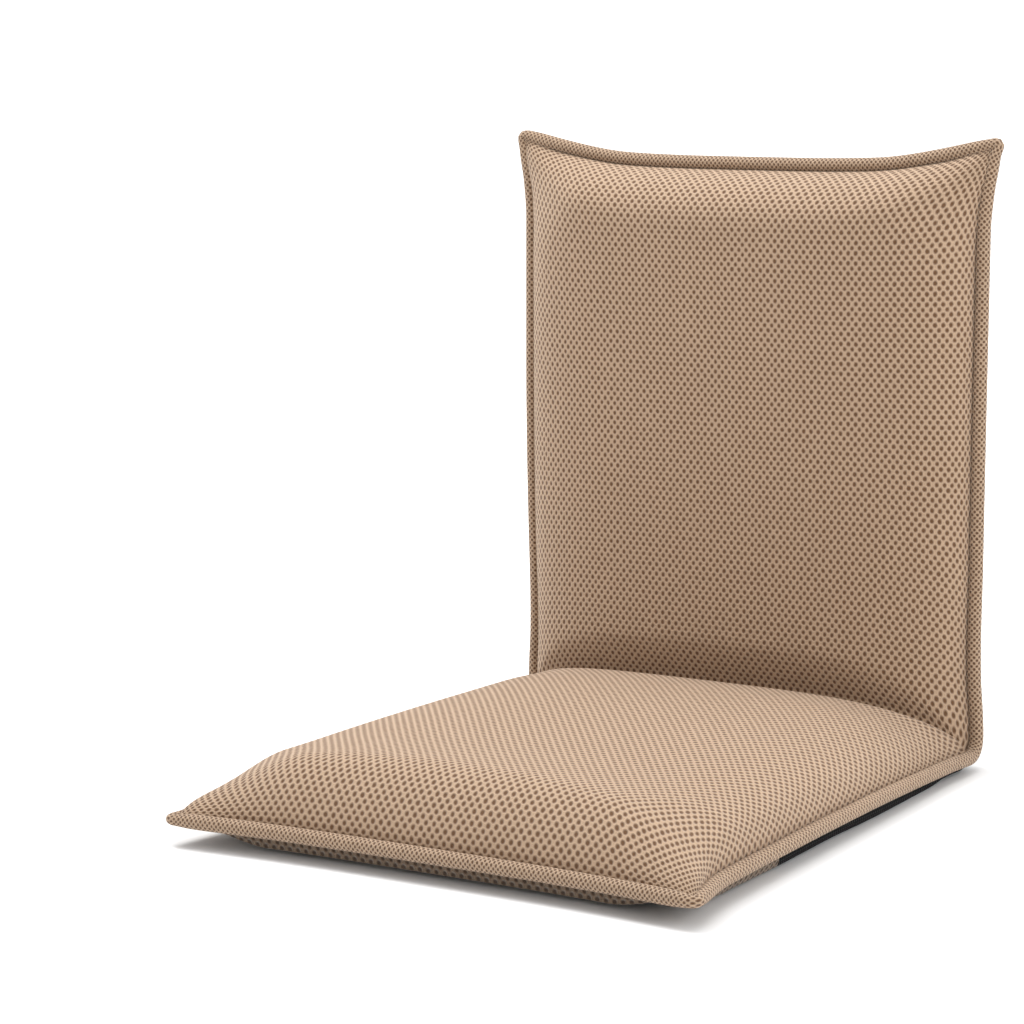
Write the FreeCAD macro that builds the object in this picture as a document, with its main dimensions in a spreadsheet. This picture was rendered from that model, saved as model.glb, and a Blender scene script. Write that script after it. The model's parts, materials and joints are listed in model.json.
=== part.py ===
import FreeCAD, Part
import math
import os
import Sketcher
from FreeCAD import Placement, Rotation, Vector

# Folding floor chair: a padded seat and back on two steel frames, joined by a ratchet hinge at each side.
#
# Frame: +X to the sitter's left, +Y to the rear, +Z up, origin on the floor under the middle of the whole chair.
# Every pad piece is drawn in pad coordinates about the hinge axis:
#   a = distance from the hinge axis along the pad, h = height above it on the side that is sat on or leaned on.
# seat: y = -a, z = h      back, upright: y = -h, z = a

doc = FreeCAD.newDocument("floor_chair")
sheet = doc.addObject("Spreadsheet::Sheet", "Sizes")


class Q:
    """A size: its expression for the document and its value for starting geometry."""

    def __init__(self, text, val):
        self.text, self.val = text, float(val)

    @staticmethod
    def of(v):
        return v if isinstance(v, Q) else Q(repr(float(v)), v)

    def _op(self, other, sign, val):
        return Q("(%s %s %s)" % (self.text, sign, other.text), val)

    def __add__(self, o):
        o = Q.of(o)
        return self._op(o, "+", self.val + o.val)

    def __radd__(self, o):
        return Q.of(o) + self

    def __sub__(self, o):
        o = Q.of(o)
        return self._op(o, "-", self.val - o.val)

    def __rsub__(self, o):
        return Q.of(o) - self

    def __mul__(self, o):
        o = Q.of(o)
        return self._op(o, "*", self.val * o.val)

    def __rmul__(self, o):
        return Q.of(o) * self

    def __truediv__(self, o):
        o = Q.of(o)
        return self._op(o, "/", self.val / o.val)

    def __neg__(self):
        return Q("(0 - %s)" % self.text, -self.val)


SIZES = [
    ("pivot_y", 297.85), ("pivot_z", 32),
    # cover and welt, plan
    ("pad_half", 246), ("shoulder_half", 229), ("crown_half", 166), ("base_half", 227),
    ("welt_rad", 7), ("welt_drop", -8), ("welt_half", 253), ("tip_half", 265.6), ("tip_round", 9),
    ("flare_side", 96), ("flare_end", 112), ("welt_start", 11),
    ("seat_len", 611), ("seat_tip", 621), ("back_len", 567), ("back_tip", 590.5),
    # cover, side view
    ("seat_top", 56), ("back_top", 51), ("shoulder_top", 27), ("floor_drop", -32), ("tan_drop", -29.5),
    ("seat_shoulder", 592), ("seat_crown", 562), ("seat_base", 588),
    ("back_shoulder", 548), ("back_crown", 520), ("back_base", 545),
    ("cover_thick", 2.5), ("panel_thick", 1.2), ("tan_thick", 1.0), ("black_len", 423), ("soft_gap", 8), ("bevel_gap", 3),
    # frame
    ("tube_rad", 8), ("tube_wall", 1.2), ("tube_drop", -20), ("seat_tube_x", 205), ("back_tube_x", 201),
    ("tube_start", 20), ("seat_tube_end", 583), ("back_tube_end", 539), ("bend_rad", 50),
    ("bar_rad", 6), ("bar_at", 128), ("plug_flange", 2), ("plug_depth", 12),
    ("strap_wide", 40), ("strap_thick", 1.3), ("strap_first", 190), ("seat_strap_step", 105), ("back_strap_step", 95),
    ("foam_low", -10.5), ("foam_gap", 0.4), ("felt_half", 216),
    # hinge
    ("cheek_in_x", 185.5), ("cheek_in_thick", 2), ("cheek_out_x", 194.5), ("cheek_out_thick", 2.5),
    ("gear_x", 189), ("gear_thick", 4), ("disc_rad", 18), ("pin_rad", 5), ("pin_bore", 5.05), ("cheek_bore", 5.1),
    ("pin_head", 9), ("pin_head_thick", 1.6), ("washer_rad", 11), ("washer_thick", 1.2),
    ("arm_low", -28), ("arm_high", -6), ("arm_len", 108), ("rivet_one", 64), ("rivet_two", 96),
    ("rivet_rad", 2.5), ("rivet_bore", 2.6), ("rivet_head", 4.5), ("rivet_head_thick", 1.2), ("spacer_rad", 5),
    ("tooth_step", 18), ("tooth_count", 6), ("notch_low", 14.4), ("notch_bottom", 1.4), ("notch_mouth", 2.1),
    ("pawl_a", 35), ("pawl_h", -0.6), ("pawl_hub", 6), ("pawl_bore", 2.55), ("pawl_pin", 2.5), ("pawl_head", 4), ("pawl_head_thick", 1),
    ("leaf_thick", 0.6), ("pocket_in", 181), ("pocket_out", 217), ("pocket_len", 114), ("pocket_top", 23),
    # zip
    ("zip_at", 470), ("zip_half", 170), ("tape_half", 11), ("tape_thick", 0.5), ("coil_half", 2.5), ("coil_thick", 0.7),
    ("slider_len", 10), ("slider_half", 4.5), ("slider_thick", 1.9), ("slider_play", 0.2), ("slider_x", 150),
    ("pull_len", 24), ("pull_wide", 6), ("pull_thick", 0.8),
    ("flip_back", 1.5), ("flip_drop", -31.05), ("flip_pin", 0.45), ("flip_bore", 0.55), ("flip_knuckle", 0.9), ("flip_gap", 0.5),
]
S = {}
for row, (alias, value) in enumerate(SIZES, start=1):
    sheet.set("A%d" % row, alias)
    sheet.set("B%d" % row, str(value))
    sheet.setAlias("B%d" % row, alias)
    S[alias] = Q("Sizes.%s" % alias, value)
doc.recompute()


class G:
    pass


g = G()
for alias in S:
    setattr(g, alias, S[alias])

NODES = []
count = [0]


def fresh(stem):
    count[0] += 1
    return "%s_%03d" % (stem, count[0])


def bind(obj, prop, q):
    q = Q.of(q)
    obj.setExpression(prop, q.text)


def at(obj, x=0.0, y=0.0, z=0.0, rot=None):
    """Place an object, its position bound to the sheet."""
    x, y, z = Q.of(x), Q.of(y), Q.of(z)
    obj.Placement = Placement(Vector(x.val, y.val, z.val), rot or Rotation())
    for axis, q in (("x", x), ("y", y), ("z", z)):
        if "Sizes" in q.text:
            bind(obj, "Placement.Base.%s" % axis, q)


def yz(side, a, h):
    """Pad coordinates to row directions, relative to the hinge axis."""
    a, h = Q.of(a), Q.of(h)
    return (-a, h) if side == "seat" else (-h, a)


def world(side, a, h):
    y, z = yz(side, a, h)
    return g.pivot_y + y, g.pivot_z + z


def node(obj, name):
    obj.Label = name
    NODES.append(obj)
    return obj


# ---------------------------------------------------------------- primitives in pad coordinates
def box(side, x0, x1, a0, a1, h0, h1):
    x0, x1, a0, a1, h0, h1 = (Q.of(v) for v in (x0, x1, a0, a1, h0, h1))
    b = doc.addObject("Part::Box", fresh("box"))
    bind(b, "Length", x1 - x0)
    if side == "seat":
        bind(b, "Width", a1 - a0)
        bind(b, "Height", h1 - h0)
        y, z = world(side, a1, h0)
    else:
        bind(b, "Width", h1 - h0)
        bind(b, "Height", a1 - a0)
        y, z = world(side, a0, h1)
    at(b, x0, y, z)
    return b


def rod(side, x0, x1, a, h, radius):
    """A cylinder along X."""
    x0, x1 = Q.of(x0), Q.of(x1)
    c = doc.addObject("Part::Cylinder", fresh("rod"))
    bind(c, "Radius", radius)
    bind(c, "Height", x1 - x0)
    y, z = world(side, a, h)
    at(c, x0, y, z, Rotation(Vector(0, 1, 0), 90))
    return c


def post(side, x, a0, a1, h, radius):
    """A cylinder along the pad."""
    a0, a1 = Q.of(a0), Q.of(a1)
    c = doc.addObject("Part::Cylinder", fresh("post"))
    bind(c, "Radius", radius)
    bind(c, "Height", a1 - a0)
    if side == "seat":
        y, z = world(side, a0, h)
        at(c, x, y, z, Rotation(Vector(1, 0, 0), 90))
    else:
        y, z = world(side, a0, h)
        at(c, x, y, z)
    return c


def slab(side, half0, end0, h0, half1, end1, h1, start):
    """A block whose plan tapers from one height to another; its hinge end stays upright."""
    h0, h1, start = Q.of(h0), Q.of(h1), Q.of(start)
    w = doc.addObject("Part::Wedge", fresh("slab"))
    half0, half1, end0, end1 = Q.of(half0), Q.of(half1), Q.of(end0), Q.of(end1)
    values = {
        "Xmin": -half0, "Xmax": half0, "X2min": -half1, "X2max": half1,
        "Ymin": Q.of(0), "Ymax": h1 - h0,
        "Zmin": start, "Zmax": end0, "Z2min": start, "Z2max": end1,
    }
    for k, q in values.items():
        setattr(w, k, q.val)
    for k, q in values.items():
        if "Sizes" in q.text:
            bind(w, k, q)
    if side == "seat":
        y, z = world(side, 0, h0)
        at(w, 0, y, z, Rotation(Vector(1, 0, 0), 90))
    else:
        y, z = world(side, 0, h0)
        at(w, 0, y, z, Rotation(Vector(0, 0, 1), 180))
    return w


def cut(base, *tools):
    for tool in tools:
        c = doc.addObject("Part::Cut", fresh("cut"))
        c.Base, c.Tool = base, tool
        base = c
    return base


def fuse(*shapes):
    f = doc.addObject("Part::MultiFuse", fresh("fuse"))
    f.Shapes = list(shapes)
    f.Refine = True
    return f


def common(a, b):
    c = doc.addObject("Part::Common", fresh("common"))
    c.Base, c.Tool = a, b
    return c


def group(shapes):
    f = doc.addObject("Part::Compound", fresh("group"))
    f.Links = list(shapes)
    return f


def bevel_tool(side):
    """The far side of the fold line between seat and back, a 45 degree plane just off the hinge axis."""
    b = doc.addObject("Part::Box", fresh("bevel"))
    b.Length, b.Width, b.Height = 700, 400, 400
    b.Placement.Rotation = Rotation(Vector(1, 0, 0), -45)
    turn = Rotation(Vector(1, 0, 0), -45)
    local = Vector(-350, -200, 0) if side == "seat" else Vector(-350, -200, -400)
    moved = turn.multVec(local)
    off = -g.bevel_gap if side == "seat" else g.bevel_gap
    at(b, moved.x, g.pivot_y + off + moved.y, g.pivot_z + moved.z, turn)
    return b


# ---------------------------------------------------------------- sketched pieces
def plane(body, role):
    return [f for f in body.Origin.OriginFeatures if f.Role == role][0]


def sketch(body, role, offset=None):
    sk = body.newObject("Sketcher::SketchObject", fresh("sketch"))
    sk.AttachmentSupport = (plane(body, role), [""])
    sk.MapMode = "FlatFace"
    if offset is not None:
        sk.AttachmentOffset = Placement(Vector(0, 0, Q.of(offset).val), Rotation())
        bind(sk, "AttachmentOffset.Base.z", offset)
    return sk


def pin_point(sk, geo, pos, u, v):
    for kind, q in (("DistanceX", Q.of(u)), ("DistanceY", Q.of(v))):
        i = sk.addConstraint(Sketcher.Constraint(kind, -1, 1, geo, pos, q.val))
        if "Sizes" in q.text:
            sk.setExpression("Constraints[%d]" % i, q.text)


def outline(sk, points):
    """A closed polygon with every corner dimensioned from the origin."""
    pts = [(Q.of(u), Q.of(v)) for u, v in points]
    n = len(pts)
    ids = []
    for i in range(n):
        p, q = pts[i], pts[(i + 1) % n]
        ids.append(sk.addGeometry(Part.LineSegment(Vector(p[0].val, p[1].val, 0), Vector(q[0].val, q[1].val, 0)), False))
    for i in range(n):
        sk.addConstraint(Sketcher.Constraint("Coincident", ids[i], 2, ids[(i + 1) % n], 1))
    for i in range(n):
        pin_point(sk, ids[i], 1, *pts[i])
    return ids


def ring(sk, u, v, radius):
    u, v, radius = Q.of(u), Q.of(v), Q.of(radius)
    i = sk.addGeometry(Part.Circle(Vector(u.val, v.val, 0), Vector(0, 0, 1), radius.val), False)
    pin_point(sk, i, 3, u, v)
    k = sk.addConstraint(Sketcher.Constraint("Radius", i, radius.val))
    if "Sizes" in radius.text:
        sk.setExpression("Constraints[%d]" % k, radius.text)
    return i


def pad(body, sk, length):
    p = body.newObject("PartDesign::Pad", fresh("pad"))
    p.Profile = sk
    bind(p, "Length", length)
    return p


def pocket(body, sk):
    """A cut right through, both ways from the sketch."""
    p = body.newObject("PartDesign::Pocket", fresh("pocket"))
    p.Profile = sk
    p.Type = 1
    p.Midplane = True
    return p


def plate(name, side, x0, thick, solids, holes, notches=None):
    """A flat steel plate: outlines padded along X, then holes cut through it."""
    body = doc.addObject("PartDesign::Body", fresh("plate"))
    for draw in solids:
        sk = sketch(body, "YZ_Plane")
        draw(sk)
        pad(body, sk, thick)
    doc.recompute()
    for draw in holes:
        sk = sketch(body, "YZ_Plane")
        draw(sk)
        pocket(body, sk)
        doc.recompute()
    if notches:
        sk = sketch(body, "YZ_Plane")
        notches(sk)
        cutter = pocket(body, sk)
        doc.recompute()
        pat = body.newObject("PartDesign::PolarPattern", fresh("teeth"))
        pat.Originals = [cutter]
        pat.Axis = ([f for f in body.Origin.OriginFeatures if f.Role == "X_Axis"][0], [""])
        bind(pat, "Angle", g.tooth_step * (g.tooth_count - 1))
        bind(pat, "Occurrences", g.tooth_count)
        body.Tip = pat
        doc.recompute()
    y, z = world(side, 0, 0)
    at(body, x0, y, z)
    return node(body, name)


def tube_frame(name, side, x_side, end):
    """A bent tube: down one side, round two bends and back up the other."""
    body = doc.addObject("PartDesign::Body", fresh("frame"))
    start, bend = g.tube_start, g.bend_rad
    if side == "seat":
        path = sketch(body, "XY_Plane", g.tube_drop)
        sgn = -1.0
    else:
        path = sketch(body, "XZ_Plane", g.tube_drop)
        sgn = 1.0
    corner = end - bend
    inner = x_side - bend
    V = lambda u, v: Vector(Q.of(u).val, Q.of(v).val, 0)
    pts = [
        (x_side, start * sgn), (x_side, corner * sgn),
        (inner, end * sgn), (-inner, end * sgn),
        (-x_side, corner * sgn), (-x_side, start * sgn),
    ]
    l1 = path.addGeometry(Part.LineSegment(V(*pts[0]), V(*pts[1])), False)
    l2 = path.addGeometry(Part.LineSegment(V(*pts[2]), V(*pts[3])), False)
    l3 = path.addGeometry(Part.LineSegment(V(*pts[4]), V(*pts[5])), False)
    for geo, pair in ((l1, (0, 1)), (l2, (2, 3)), (l3, (4, 5))):
        pin_point(path, geo, 1, *pts[pair[0]])
        pin_point(path, geo, 2, *pts[pair[1]])
    for ca, cb, p, q in ((inner, corner, (l1, 2), (l2, 1)), (-inner, corner, (l2, 2), (l3, 1))):
        c = V(ca, cb * sgn)
        pa, pb = (V(*pts[1]), V(*pts[2])) if p[0] == l1 else (V(*pts[3]), V(*pts[4]))
        mid = c + ((pa - c) + (pb - c)).normalize() * bend.val
        # an arc in a sketch runs anticlockwise
        if (pa - c).cross(pb - c).z < 0:
            pa, pb, p, q = pb, pa, q, p
        i = path.addGeometry(Part.Arc(pa, mid, pb), False)
        path.addConstraint(Sketcher.Constraint("Coincident", i, 1, p[0], p[1]))
        path.addConstraint(Sketcher.Constraint("Coincident", i, 2, q[0], q[1]))
        k = path.addConstraint(Sketcher.Constraint("Radius", i, bend.val))
        path.setExpression("Constraints[%d]" % k, bend.text)
    if side == "seat":
        prof = sketch(body, "XZ_Plane", start)
        ring(prof, x_side, g.tube_drop, g.tube_rad)
        ring(prof, x_side, g.tube_drop, g.tube_rad - g.tube_wall)
    else:
        prof = sketch(body, "XY_Plane", start)
        ring(prof, x_side, -g.tube_drop, g.tube_rad)
        ring(prof, x_side, -g.tube_drop, g.tube_rad - g.tube_wall)
    doc.recompute()
    pipe = body.newObject("PartDesign::AdditivePipe", fresh("pipe"))
    pipe.Profile = prof
    pipe.Spine = (path, ["Edge%d" % (i + 1) for i in range(5)])
    doc.recompute()
    # rivet holes through both walls at both sides
    holes = sketch(body, "YZ_Plane")
    for a in (g.rivet_one, g.rivet_two):
        ring(holes, *yz(side, a, g.tube_drop), g.rivet_bore)
    pocket(body, holes)
    doc.recompute()
    y, z = world(side, 0, 0)
    at(body, 0, y, z)
    return node(body, name)


# ================================================================ frames
tube_frame("seat_frame_tube", "seat", g.seat_tube_x, g.seat_tube_end)
tube_frame("back_frame_tube", "back", g.back_tube_x, g.back_tube_end)

for side, xs in (("seat", g.seat_tube_x), ("back", g.back_tube_x)):
    inside = xs - g.tube_rad
    node(rod(side, -inside, inside, g.bar_at, g.tube_drop, g.bar_rad), "%s_cross_bar" % side)
    plugs = []
    for s in (1.0, -1.0):
        plugs.append(post(side, xs * s, g.tube_start - g.plug_flange, g.tube_start, g.tube_drop, g.tube_rad))
        plugs.append(post(side, xs * s, g.tube_start, g.tube_start + g.plug_depth, g.tube_drop, g.tube_rad - g.tube_wall - 0.05))
    node(group([fuse(plugs[0], plugs[1]), fuse(plugs[2], plugs[3])]), "%s_tube_plugs" % side)
    step = g.seat_strap_step if side == "seat" else g.back_strap_step
    straps = []
    for k in range(4):
        a0 = g.strap_first + step * float(k)
        straps.append(box(side, -xs, xs, a0 - g.strap_wide / 2, a0 + g.strap_wide / 2,
                          g.tube_drop + g.tube_rad, g.tube_drop + g.tube_rad + g.strap_thick))
    node(group(straps), "%s_webbing" % side)

# ================================================================ pads, covers and panels
for side in ("seat", "back"):
    end0 = getattr(g, side + "_len") - g.welt_rad
    end1 = getattr(g, side + "_shoulder")
    end2 = getattr(g, side + "_crown")
    top = getattr(g, side + "_top")
    base = getattr(g, side + "_base")
    ct = g.cover_thick

    def pad_shape(inset, low, start):
        """The pillow above the welt line, in two tapering tiers, shrunk by inset all round."""
        i = Q.of(inset)
        lower = slab(side, g.pad_half - i, end0 - i, low, g.shoulder_half - i, end1 - i, g.shoulder_top, start)
        upper = slab(side, g.shoulder_half - i, end1 - i, g.shoulder_top, g.crown_half - i, end2 - i, top - i, start)
        return fuse(lower, upper)

    outer = pad_shape(0.0, g.welt_drop, g.soft_gap)
    inner = pad_shape(ct, g.welt_drop - 1, g.soft_gap - 1)
    skin = cut(outer, inner, bevel_tool(side))
    node(skin, "seat_top_cover" if side == "seat" else "back_front_cover")

    # foam: the same pillow inside the cover, with a pocket at each side for the hinge
    pillow = pad_shape(ct + g.foam_gap, g.foam_low, g.soft_gap)
    pockets = [
        box(side, g.pocket_in, g.pocket_out, g.soft_gap - 2, g.pocket_len, g.foam_low - 2, g.pocket_top),
        box(side, -g.pocket_out, -g.pocket_in, g.soft_gap - 2, g.pocket_len, g.foam_low - 2, g.pocket_top),
    ]
    edge = slab(side, g.pad_half + 60, end0 + 60, g.foam_low - 1, g.pad_half + 60, end0 + 60, g.welt_drop, g.soft_gap - 1)
    core = slab(side, g.felt_half, base - 6, g.foam_low - 2, g.felt_half, base - 6, g.welt_drop + 1, g.soft_gap - 2)
    rim = cut(edge, core)
    node(cut(pillow, bevel_tool(side), rim, *pockets), "%s_foam" % side)

    # underside: a shallow tray from the welt down; black cloth near the hinge, tan mesh at the far end
    pt, tt = g.panel_thick, g.tan_thick
    tray = cut(
        slab(side, g.base_half, base, g.floor_drop, g.pad_half, end0, g.welt_drop, g.soft_gap),
        slab(side, g.base_half - pt, base - pt, g.floor_drop + pt, g.pad_half - pt, end0 - pt, g.welt_drop + 1, g.soft_gap - 1),
    )
    keep = box(side, -g.pad_half - 20, g.pad_half + 20, g.soft_gap - 2, g.black_len, g.floor_drop - 5, g.welt_drop + 5)
    node(common(tray, keep), "%s_antislip_panel" % side)
    tray2 = cut(
        slab(side, g.base_half, base, g.tan_drop, g.pad_half, end0, g.welt_drop, g.soft_gap),
        slab(side, g.base_half - tt, base - tt, g.tan_drop + tt, g.pad_half - tt, end0 - tt, g.welt_drop + 1, g.soft_gap - 1),
    )
    keep2 = box(side, -g.pad_half - 20, g.pad_half + 20, g.black_len, end0 + 20, g.floor_drop - 5, g.welt_drop + 5)
    node(common(tray2, keep2), "seat_front_underpanel" if side == "seat" else "back_top_rear_panel")

    # felt between the frame and the black cloth
    node(box(side, -g.felt_half, g.felt_half, g.soft_gap + 2, g.black_len - 6, g.floor_drop + pt, g.tube_drop - g.tube_rad - 0.2),
         "%s_felt_underlay" % side)

# ================================================================ hinge
X, Y = Q.of(0), Q.of(0)
TIP = -60.0  # angle, seen from the hinge axis, at which the pawl meets the teeth; forward is 0, up is 90
U = (math.cos(math.radians(TIP)), math.sin(math.radians(TIP)))
T = (-math.sin(math.radians(TIP)), math.cos(math.radians(TIP)))


def tau_rho(t, r):
    """A point given along and out from the pawl's meeting point, as seat pad coordinates."""
    return (T[0] * t + U[0] * r, T[1] * t + U[1] * r)


for mirror, hand in ((1.0, "left"), (-1.0, "right")):

    def span(x0, thick):
        """Where a plate starts along X on this side."""
        x0, thick = Q.of(x0), Q.of(thick)
        return x0 if mirror > 0 else -(x0 + thick)

    def bar(side, x0, x1, a, h, radius):
        x0, x1 = Q.of(x0), Q.of(x1)
        return rod(side, x0, x1, a, h, radius) if mirror > 0 else rod(side, -x1, -x0, a, h, radius)

    # cheeks on the seat frame: a disc round the pivot and an arm along the tube
    def cheek_disc(sk):
        ring(sk, 0, 0, g.disc_rad)

    def cheek_arm(sk):
        outline(sk, [yz("seat", a, h) for a, h in (
            (0, -17.9), (16, g.arm_low), (g.arm_len, g.arm_low), (g.arm_len, -9), (60, g.arm_high), (43, 7), (8, 14))])

    def cheek_holes(sk):
        ring(sk, 0, 0, g.cheek_bore)
        ring(sk, *yz("seat", g.pawl_a, g.pawl_h), g.rivet_bore)
        ring(sk, *yz("seat", g.rivet_one, g.tube_drop), g.rivet_bore)
        ring(sk, *yz("seat", g.rivet_two, g.tube_drop), g.rivet_bore)

    plate("hinge_cheek_inner_" + hand, "seat", span(g.cheek_in_x, g.cheek_in_thick), g.cheek_in_thick,
          [cheek_disc, cheek_arm], [cheek_holes])
    plate("hinge_cheek_outer_" + hand, "seat", span(g.cheek_out_x, g.cheek_out_thick), g.cheek_out_thick,
          [cheek_disc, cheek_arm], [cheek_holes])

    # toothed arm on the back frame
    def gear_disc(sk):
        ring(sk, 0, 0, g.disc_rad)

    def gear_arm(sk):
        outline(sk, [yz("back", a, h) for a, h in (
            (0, -17.9), (14, g.arm_low), (g.arm_len, g.arm_low), (g.arm_len, -12), (40, g.arm_high), (16, -4), (2, 10))])

    def gear_holes(sk):
        ring(sk, 0, 0, g.pin_bore)
        ring(sk, *yz("back", g.rivet_one, g.tube_drop), g.rivet_bore)
        ring(sk, *yz("back", g.rivet_two, g.tube_drop), g.rivet_bore)

    def gear_notch(sk):
        pts = []
        for t, r in ((-g.notch_bottom, g.notch_low), (g.notch_bottom, g.notch_low),
                     (g.notch_mouth, g.disc_rad + 1.5), (-g.notch_mouth, g.disc_rad + 1.5)):
            pts.append((-(T[0] * t + U[0] * r), T[1] * t + U[1] * r))
        outline(sk, pts)

    def gear_reset(sk):
        pts = []
        for ang, r in ((6, 14.4), (6, 20.5), (34, 20.5), (34, 14.4)):
            pts.append((-r * math.cos(math.radians(ang)), r * math.sin(math.radians(ang))))
        outline(sk, pts)

    plate("ratchet_arm_" + hand, "back", span(g.gear_x, g.gear_thick), g.gear_thick,
          [gear_disc, gear_arm], [gear_holes, gear_reset], gear_notch)

    # pawl: hub on its pin, tooth towards the disc, drawn lifted just clear of the tooth tips
    def pawl_body(sk):
        outline(sk, [yz("seat", *tau_rho(t, r)) for t, r in (
            (-0.9, 18.4), (0.9, 18.4), (1.3, 21.8), (16, 21.8), (25.2, 14.2), (33.5, 20.5), (29, 24.4), (8, 27.5), (-3, 26.5), (-3, 21.8), (-1.3, 21.8))])

    def pawl_hub(sk):
        ring(sk, *yz("seat", g.pawl_a, g.pawl_h), g.pawl_hub)

    def pawl_hole(sk):
        ring(sk, *yz("seat", g.pawl_a, g.pawl_h), g.pawl_bore)

    plate("pawl_" + hand, "seat", span(g.gear_x, g.gear_thick), g.gear_thick, [pawl_hub, pawl_body], [pawl_hole])

    # leaf spring under the pawl
    def leaf(sk):
        lt = g.leaf_thick
        low = g.tube_drop - g.spacer_rad
        outline(sk, [yz("seat", a, h) for a, h in (
            (g.rivet_one + 6, low), (37, low), (21.5, -20.4), (21.5, -20.4 - lt), (37, low - lt), (g.rivet_one + 6, low - lt))])

    plate("pawl_spring_" + hand, "seat", span(g.gear_x + 0.5, g.gear_thick - 1), g.gear_thick - 1, [leaf], [])

    # rivets, pins, washers
    cheek_in_end = g.cheek_in_x + g.cheek_in_thick
    cheek_out_end = g.cheek_out_x + g.cheek_out_thick
    node(fuse(
        bar("seat", g.cheek_in_x - g.pin_head_thick, g.cheek_in_x, 0, 0, g.pin_head),
        bar("seat", g.cheek_in_x - 0.5, cheek_out_end + 0.5, 0, 0, g.pin_rad),
        bar("seat", cheek_out_end, cheek_out_end + g.pin_head_thick, 0, 0, g.pin_head)), "pivot_rivet_" + hand)
    node(fuse(
        bar("seat", g.cheek_in_x - g.pawl_head_thick, g.cheek_in_x, g.pawl_a, g.pawl_h, g.pawl_head),
        bar("seat", g.cheek_in_x - 0.5, cheek_out_end + 0.5, g.pawl_a, g.pawl_h, g.pawl_pin),
        bar("seat", cheek_out_end, cheek_out_end + g.pawl_head_thick, g.pawl_a, g.pawl_h, g.pawl_head)), "pawl_pin_" + hand)
    washers = []
    for x0 in (cheek_in_end, g.cheek_out_x - g.washer_thick):
        washers.append(cut(bar("seat", x0, x0 + g.washer_thick, 0, 0, g.washer_rad),
                           bar("seat", x0 - 1, x0 + g.washer_thick + 1, 0, 0, g.cheek_bore)))
    node(group(washers), "hinge_washers_" + hand)

spacers, seat_rivets, back_rivets = [], [], []
for s in (1.0, -1.0):
    for a in (g.rivet_one, g.rivet_two):

        def bar2(side, x0, x1, radius):
            x0, x1 = Q.of(x0), Q.of(x1)
            return rod(side, x0, x1, a, g.tube_drop, radius) if s > 0 else rod(side, -x1, -x0, a, g.tube_drop, radius)

        ci, co = g.cheek_in_x + g.cheek_in_thick, g.cheek_out_x
        spacers.append(cut(bar2("seat", ci, co, g.spacer_rad), bar2("seat", ci - 1, co + 1, g.rivet_bore)))
        outside = g.seat_tube_x + g.tube_rad
        seat_rivets.append(fuse(
            bar2("seat", g.cheek_in_x - g.rivet_head_thick, g.cheek_in_x, g.rivet_head),
            bar2("seat", g.cheek_in_x - 0.5, outside + 0.5, g.rivet_rad),
            bar2("seat", outside, outside + g.rivet_head_thick, g.rivet_head)))
        outside = g.back_tube_x + g.tube_rad
        back_rivets.append(fuse(
            bar2("back", g.gear_x - g.rivet_head_thick, g.gear_x, g.rivet_head),
            bar2("back", g.gear_x - 0.5, outside + 0.5, g.rivet_rad),
            bar2("back", outside, outside + g.rivet_head_thick, g.rivet_head)))
node(group(spacers), "hinge_spacers")
node(group(seat_rivets), "seat_frame_rivets")
node(group(back_rivets), "back_frame_rivets")

# ================================================================ zip across the rear of the back
zt = g.tan_drop
node(box("back", -g.zip_half, g.zip_half, g.zip_at - g.tape_half, g.zip_at + g.tape_half, zt - g.tape_thick, zt), "zip_tape")
coil_top = zt - g.tape_thick
node(box("back", -g.zip_half + 4, g.zip_half - 4, g.zip_at - g.coil_half, g.zip_at + g.coil_half, coil_top - g.coil_thick, coil_top), "zip_coil")
play = g.slider_play
slider = cut(
    box("back", g.slider_x - g.slider_len, g.slider_x, g.zip_at - g.slider_half, g.zip_at + g.slider_half,
        coil_top - play / 2 - g.slider_thick, coil_top - play / 2),
    box("back", g.slider_x - g.slider_len - 1, g.slider_x + 1, g.zip_at - g.coil_half - play, g.zip_at + g.coil_half + play,
        coil_top - g.coil_thick - play, coil_top + 1))
# a stub pin on the slider's side carries the pull, whose knuckle turns on it
pin_x = g.slider_x - g.flip_back
pin_a = g.zip_at + g.slider_half
stub = post("back", pin_x, pin_a - 0.6, pin_a + g.flip_gap * 2 + g.pull_wide, g.flip_drop, g.flip_pin)
head = post("back", pin_x, pin_a + g.flip_gap * 2 + g.pull_wide - 0.2, pin_a + g.flip_gap * 2 + g.pull_wide + 0.5, g.flip_drop, g.flip_knuckle)
node(fuse(slider, stub, head), "zip_slider")
pull_a = pin_a + g.flip_gap
knuckle = post("back", pin_x, pull_a, pull_a + g.pull_wide, g.flip_drop, g.flip_knuckle)
blade = box("back", pin_x, pin_x + g.pull_len, pull_a, pull_a + g.pull_wide, g.flip_drop - g.pull_thick / 2, g.flip_drop + g.pull_thick / 2)
bore = post("back", pin_x, pull_a - 1, pull_a + g.pull_wide + 1, g.flip_drop, g.flip_bore)
slot = box("back", pin_x + g.pull_len - 6, pin_x + g.pull_len - 1.8, pull_a + 1.6, pull_a + g.pull_wide - 1.6,
           g.flip_drop - g.pull_thick, g.flip_drop + g.pull_thick)
node(cut(fuse(knuckle, blade), bore, slot), "zip_pull")

doc.recompute()


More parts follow.
